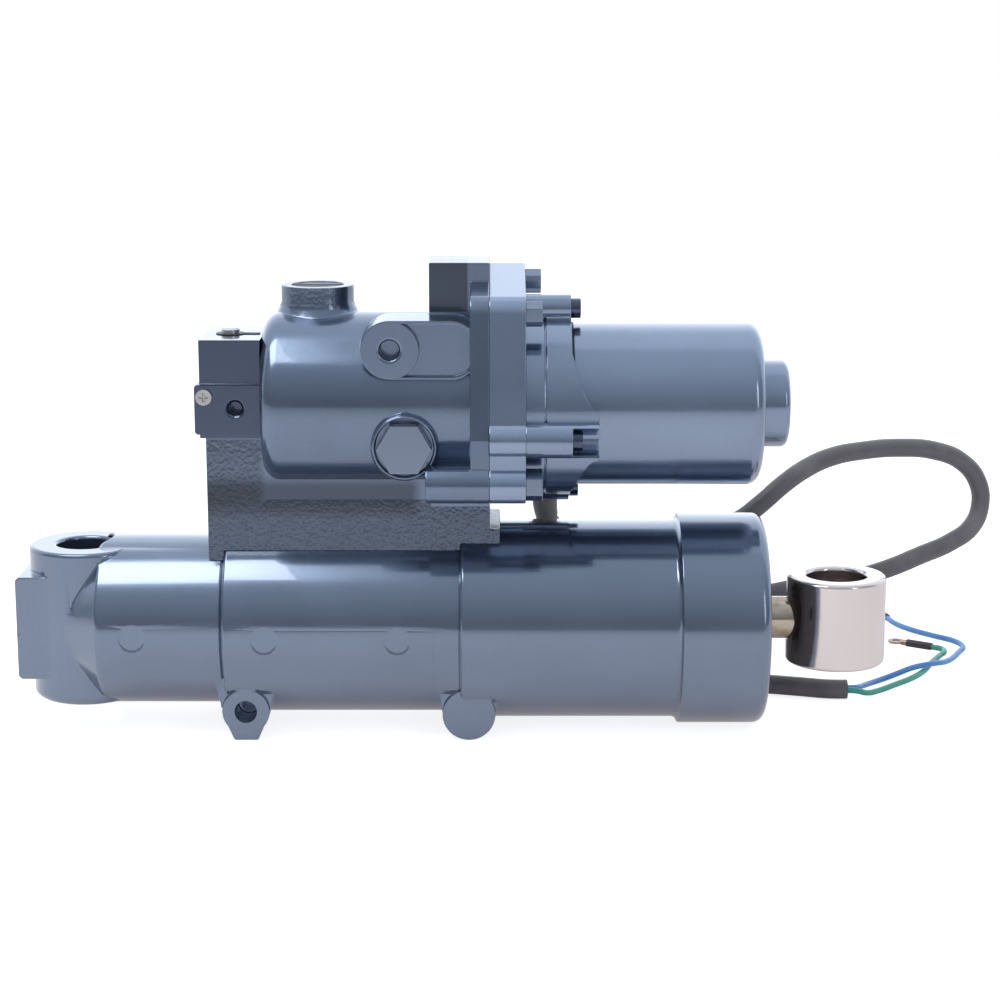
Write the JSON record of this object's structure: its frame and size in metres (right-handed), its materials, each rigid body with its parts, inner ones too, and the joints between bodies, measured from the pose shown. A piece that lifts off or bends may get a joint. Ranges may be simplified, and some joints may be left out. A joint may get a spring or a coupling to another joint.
{
  "type": "power trim and tilt unit",
  "caption": "Outboard power trim and tilt unit: a painted hydraulic cylinder with a pin eye at each end, its gear pump, valve block and electric motor on top, and a motor cable.",
  "frame": {"origin": "centre of the base eye bore, halfway along it", "axes": "+X along the ram towards the ram eye, +Z along the base eye bore towards the pump, +Y to the back"},
  "size_m": [0.4801, 0.2577, 0.2203],
  "materials": {
    "slate_paint": "gloss metallic",
    "black_oxide": "black oxide",
    "rubber": "satin",
    "steel": "machined",
    "nickel_steel": "fine turned",
    "chrome": "polished",
    "brass": "machined",
    "copper": "satin",
    "magnet": "matte",
    "lamination": "satin",
    "brush_plate": "matte",
    "carbon": "matte",
    "grommet": "matte",
    "cable_sheath": "satin",
    "blue_pvc": "gloss",
    "green_pvc": "gloss",
    "sleeve": "satin",
    "tin": "dull tin"
  },
  "bodies": {
    "unit": {"cylinder_body": "slate_paint", "cylinder_gland": "black_oxide", "gland_oring": "rubber", "rod_seal": "rubber", "rod_wiper": "rubber", "pump_housing": "slate_paint", "adapter_plate": "slate_paint", "flange_oring": "rubber", "hex_plug": "slate_paint", "plug_washer": "copper", "filler_plug": "black_oxide", "flange_bolts": "slate_paint", "valve_block": "slate_paint", "valve_circlip": "black_oxide", "block_screws": "steel", "front_check_spring": "black_oxide", "rear_check_spring": "black_oxide", "check_cap": "steel", "relief_valve": "steel", "gear_case": "steel", "pump_cover": "steel", "gear_pin": "black_oxide", "pump_screws": "black_oxide", "suction_filter": "brass", "motor_base": "slate_paint", "motor_oring": "rubber", "motor_can": "slate_paint", "magnets": "magnet", "motor_bearings": "steel", "shaft_seal": "rubber", "brush_holder": "brush_plate", "brushes": "carbon", "brush_springs": "steel", "motor_screws": "black_oxide", "lead_grommet": "grommet", "motor_cable": "cable_sheath", "blue_lead": "blue_pvc", "green_lead": "green_pvc", "terminal_sleeves": "sleeve", "ring_terminals": "tin"},
    "ring": {"piston_ring": "rubber"},
    "ram": {"piston": "steel", "piston_nut": "steel", "ram_rod": "chrome", "ram_eye": "nickel_steel", "shock_valves": "brass"},
    "free_piston_body": {"free_piston": "steel", "free_piston_ring": "rubber"},
    "manual_valve_body": {"manual_valve": "steel"},
    "shuttle": {"shuttle_piston": "steel"},
    "front_check": {"front_check_valve": "brass"},
    "rear_check": {"rear_check_valve": "brass"},
    "rotor": {"armature_shaft": "steel", "armature_core": "lamination", "armature_windings": "copper", "commutator": "copper"},
    "coupling": {"drive_coupling": "black_oxide"},
    "pump_drive_gear": {"drive_gear": "steel"},
    "pump_driven_gear": {"driven_gear": "steel"}
  },
  "joints": [
    {"name": "ram_slide", "type": "slide", "parent": "unit", "child": "ring", "axis": [1, 0, 0], "range_m": [0, 0.2]},
    {"name": "ram_turn", "type": "hinge", "parent": "ring", "child": "ram", "pos_m": [0.06, 0, 0], "axis": [1, 0, 0], "continuous": true},
    {"name": "free_piston_slide", "type": "slide", "parent": "unit", "child": "free_piston_body", "axis": [1, 0, 0], "range_m": [0, 0.2]},
    {"name": "manual_valve_turn", "type": "hinge", "parent": "unit", "child": "manual_valve_body", "pos_m": [0.071, -0.003, 0.134], "axis": [0, 0, 1], "range_deg": [0, 270]},
    {"name": "shuttle_slide", "type": "slide", "parent": "unit", "child": "shuttle", "axis": [0, 1, 0], "range_m": [-0.0015, 0.0015]},
    {"name": "front_check_slide", "type": "slide", "parent": "unit", "child": "front_check", "axis": [0, -1, 0], "range_m": [0, 0.0015], "deforming": ["front_check_spring"]},
    {"name": "rear_check_slide", "type": "slide", "parent": "unit", "child": "rear_check", "axis": [0, 1, 0], "range_m": [0, 0.0015], "deforming": ["rear_check_spring"]},
    {"name": "motor_spin", "type": "hinge", "parent": "unit", "child": "rotor", "pos_m": [0.25, 0, 0.103], "axis": [1, 0, 0], "continuous": true},
    {"name": "coupling_spin", "type": "hinge", "parent": "unit", "child": "coupling", "pos_m": [0.198, 0, 0.103], "axis": [1, 0, 0], "continuous": true},
    {"name": "drive_gear_spin", "type": "hinge", "parent": "unit", "child": "pump_drive_gear", "pos_m": [0.175, 0, 0.103], "axis": [1, 0, 0], "continuous": true},
    {"name": "driven_gear_spin", "type": "hinge", "parent": "unit", "child": "pump_driven_gear", "pos_m": [0.175, 0, 0.088], "axis": [1, 0, 0], "continuous": true}
  ],
  "couplings": [
    {"joint": "free_piston_slide", "follows": "ram_slide", "ratio": 1},
    {"joint": "coupling_spin", "follows": "motor_spin", "ratio": 1},
    {"joint": "drive_gear_spin", "follows": "motor_spin", "ratio": 1},
    {"joint": "driven_gear_spin", "follows": "motor_spin", "ratio": -1}
  ]
}
